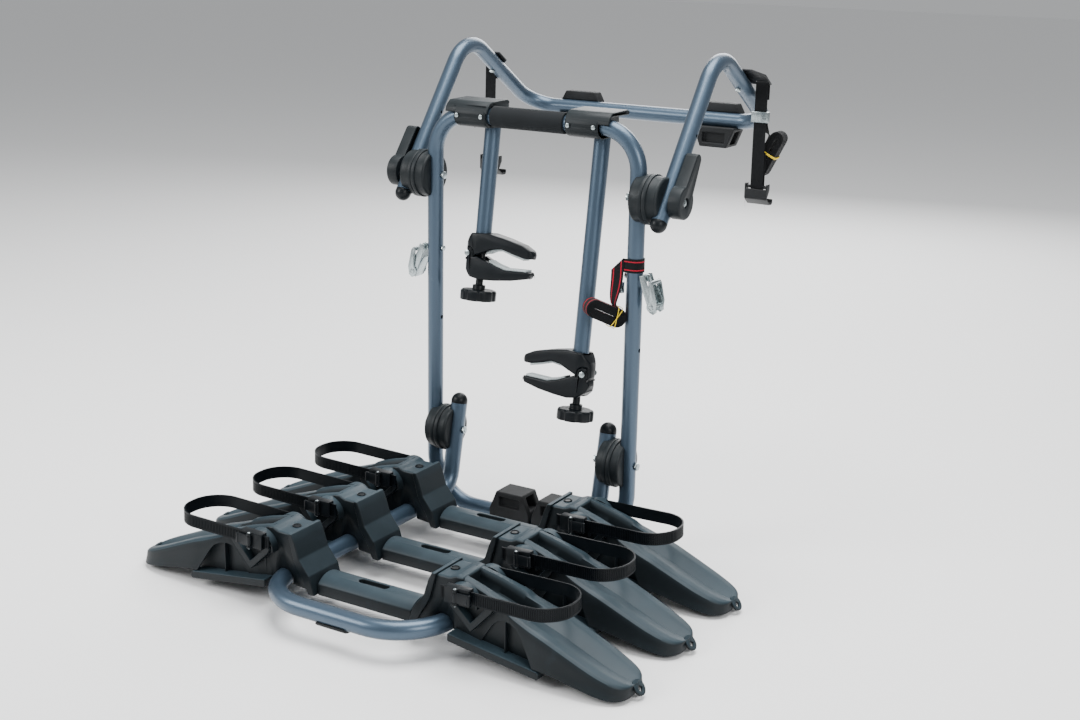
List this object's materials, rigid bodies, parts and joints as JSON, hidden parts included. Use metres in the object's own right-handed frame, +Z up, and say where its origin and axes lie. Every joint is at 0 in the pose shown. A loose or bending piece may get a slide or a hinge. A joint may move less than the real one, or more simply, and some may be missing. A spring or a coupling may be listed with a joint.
{
  "type": "trunk mounted bike rack",
  "caption": "Folding bicycle rack for a car boot: tubular upright frame, hinged rear hoop with hooks, swinging arms with frame clamps and a fold-up platform of wheel trays.",
  "frame": {"origin": "on the ground, at the middle of the rack's footprint", "axes": "+X right along the wheel trays, +Y towards the car, +Z up"},
  "size_m": [1.016, 1.081, 0.9073],
  "materials": {
    "frame_tube": "satin metallic blue-grey lacquer",
    "zinc": "zinc plated",
    "black_steel": "black powder coat",
    "charcoal_plastic": "fine grained moulding",
    "black_plastic": "semi-matt moulding",
    "rubber": "matt moulded rubber",
    "foam": "closed-cell foam",
    "liner": "soft pale grey pad",
    "webbing": "woven polyester",
    "red_webbing": "woven polyester with two red lines",
    "band": "thin elastic"
  },
  "bodies": {
    "upright": {"upright_frame": "frame_tube", "foam_grip": "foam", "lower_saddles": "rubber", "frame_hubs": "charcoal_plastic", "pivot_bolts": "zinc", "strap_hardware": "zinc", "lower_strap": "red_webbing", "lower_band": "band"},
    "hoop": {"hoop": "frame_tube", "hoop_caps": "black_plastic", "hoop_hubs": "charcoal_plastic", "upper_saddles": "rubber", "strap_brackets": "black_steel", "upper_strap_hardware": "zinc", "upper_strap_left": "webbing", "upper_strap_right": "webbing", "upper_band": "band"},
    "platform": {"platform_frame": "frame_tube", "platform_caps": "black_plastic", "platform_hubs": "charcoal_plastic", "front_foot": "rubber", "wheel_straps": "black_plastic", "strap_buckles": "black_plastic", "screw_caps": "black_plastic", "tray_beam_near": "charcoal_plastic", "tray_beam_mid": "charcoal_plastic", "tray_beam_far": "charcoal_plastic", "tray_cradles_near": "charcoal_plastic", "tray_cradles_mid": "charcoal_plastic", "tray_cradles_far": "charcoal_plastic"},
    "arm_left": {"arm_bracket_left": "charcoal_plastic", "bike_arm_left": "frame_tube", "holder_fasteners_left": "zinc", "clamp_body_left": "black_plastic", "liner_upper_left": "liner"},
    "jaw_left": {"clamp_jaw_left": "black_plastic", "liner_lower_left": "liner"},
    "knob_left": {"clamp_knob_left": "black_plastic"},
    "lever_left": {"pivot_lever_left": "charcoal_plastic"},
    "hook_left": {"strap_hook_left": "black_steel"},
    "ratchet_left": {"ratchet_left": "zinc"},
    "ratchet_grip_left": {"ratchet_handle_left": "zinc"},
    "arm_right": {"arm_bracket_right": "charcoal_plastic", "bike_arm_right": "frame_tube", "holder_fasteners_right": "zinc", "clamp_body_right": "black_plastic", "liner_upper_right": "liner"},
    "jaw_right": {"clamp_jaw_right": "black_plastic", "liner_lower_right": "liner"},
    "knob_right": {"clamp_knob_right": "black_plastic"},
    "lever_right": {"pivot_lever_right": "charcoal_plastic"},
    "hook_right": {"strap_hook_right": "black_steel"},
    "ratchet_right": {"ratchet_right": "zinc"},
    "ratchet_grip_right": {"ratchet_handle_right": "zinc"},
    "buckle_near_left": {"buckle_lever_near_left": "black_plastic"},
    "buckle_near_right": {"buckle_lever_near_right": "black_plastic"},
    "buckle_mid_left": {"buckle_lever_mid_left": "black_plastic"},
    "buckle_mid_right": {"buckle_lever_mid_right": "black_plastic"},
    "buckle_far_left": {"buckle_lever_far_left": "black_plastic"},
    "buckle_far_right": {"buckle_lever_far_right": "black_plastic"}
  },
  "joints": [
    {"name": "platform_fold", "type": "hinge", "parent": "upright", "child": "platform", "pos_m": [0, 0.0775, 0.172], "axis": [1, 0, 0], "range_deg": [-70, 0]},
    {"name": "hoop_swing", "type": "hinge", "parent": "upright", "child": "hoop", "pos_m": [0, 0.0775, 0.667], "axis": [1, 0, 0], "range_deg": [-88, 30]},
    {"name": "arm_swing_left", "type": "hinge", "parent": "upright", "child": "arm_left", "pos_m": [-0.109, 0.0775, 0.785], "axis": [1, 0, 0], "range_deg": [-95, 12]},
    {"name": "jaw_tilt_left", "type": "hinge", "parent": "arm_left", "child": "jaw_left", "pos_m": [-0.12702, 0.07752, 0.52778], "axis": [0, -0.9893, 0.1461], "range_deg": [-15, 5]},
    {"name": "knob_turn_left", "type": "hinge", "parent": "arm_left", "child": "knob_left", "pos_m": [-0.109, 0.07723, 0.52581], "axis": [0, 0.1461, 0.9893], "continuous": true},
    {"name": "lever_turn_left", "type": "hinge", "parent": "hoop", "child": "lever_left", "pos_m": [-0.297, 0.0775, 0.667], "axis": [1, 0, 0], "range_deg": [0, 120]},
    {"name": "ratchet_swing_left", "type": "hinge", "parent": "upright", "child": "ratchet_left", "pos_m": [-0.237, 0.0775, 0.527], "axis": [0, 1, 0], "range_deg": [-12, 60]},
    {"name": "arm_swing_right", "type": "hinge", "parent": "upright", "child": "arm_right", "pos_m": [0.122, 0.0775, 0.785], "axis": [1, 0, 0], "range_deg": [-95, 12]},
    {"name": "jaw_tilt_right", "type": "hinge", "parent": "arm_right", "child": "jaw_right", "pos_m": [0.14002, 0.04991, 0.34081], "axis": [0, 0.9893, -0.1461], "range_deg": [-15, 5]},
    {"name": "knob_turn_right", "type": "hinge", "parent": "arm_right", "child": "knob_right", "pos_m": [0.122, 0.04962, 0.33884], "axis": [0, 0.1461, 0.9893], "continuous": true},
    {"name": "lever_turn_right", "type": "hinge", "parent": "hoop", "child": "lever_right", "pos_m": [0.297, 0.0775, 0.667], "axis": [1, 0, 0], "range_deg": [0, 120]},
    {"name": "ratchet_swing_right", "type": "hinge", "parent": "upright", "child": "ratchet_right", "pos_m": [0.237, 0.0775, 0.527], "axis": [0, 1, 0], "range_deg": [-60, 12]},
    {"name": "hook_swing_left", "type": "hinge", "parent": "hoop", "child": "hook_left", "pos_m": [-0.3, 0.40524, 0.65222], "axis": [1, 0, 0], "range_deg": [-40, 40]},
    {"name": "ratchet_open_left", "type": "hinge", "parent": "ratchet_left", "child": "ratchet_grip_left", "pos_m": [-0.25648, 0.0775, 0.47879], "axis": [0, -1, 0], "range_deg": [0, 100]},
    {"name": "hook_swing_right", "type": "hinge", "parent": "hoop", "child": "hook_right", "pos_m": [0.3, 0.40524, 0.65222], "axis": [1, 0, 0], "range_deg": [-40, 40]},
    {"name": "ratchet_open_right", "type": "hinge", "parent": "ratchet_right", "child": "ratchet_grip_right", "pos_m": [0.25648, 0.0775, 0.47879], "axis": [0, 1, 0], "range_deg": [0, 100]},
    {"name": "buckle_open_near_left", "type": "hinge", "parent": "platform", "child": "buckle_near_left", "pos_m": [-0.208, -0.4815, 0.119], "axis": [0.0262, 0, 0.9997], "range_deg": [0, 70]},
    {"name": "buckle_open_near_right", "type": "hinge", "parent": "platform", "child": "buckle_near_right", "pos_m": [0.208, -0.4815, 0.119], "axis": [0.0262, 0, -0.9997], "range_deg": [0, 70]},
    {"name": "buckle_open_mid_left", "type": "hinge", "parent": "platform", "child": "buckle_mid_left", "pos_m": [-0.208, -0.3015, 0.119], "axis": [0.0262, 0, 0.9997], "range_deg": [0, 70]},
    {"name": "buckle_open_mid_right", "type": "hinge", "parent": "platform", "child": "buckle_mid_right", "pos_m": [0.208, -0.3015, 0.119], "axis": [0.0262, 0, -0.9997], "range_deg": [0, 70]},
    {"name": "buckle_open_far_left", "type": "hinge", "parent": "platform", "child": "buckle_far_left", "pos_m": [-0.208, -0.1215, 0.119], "axis": [0.0262, 0, 0.9997], "range_deg": [0, 70]},
    {"name": "buckle_open_far_right", "type": "hinge", "parent": "platform", "child": "buckle_far_right", "pos_m": [0.208, -0.1215, 0.119], "axis": [0.0262, 0, -0.9997], "range_deg": [0, 70]}
  ]
}
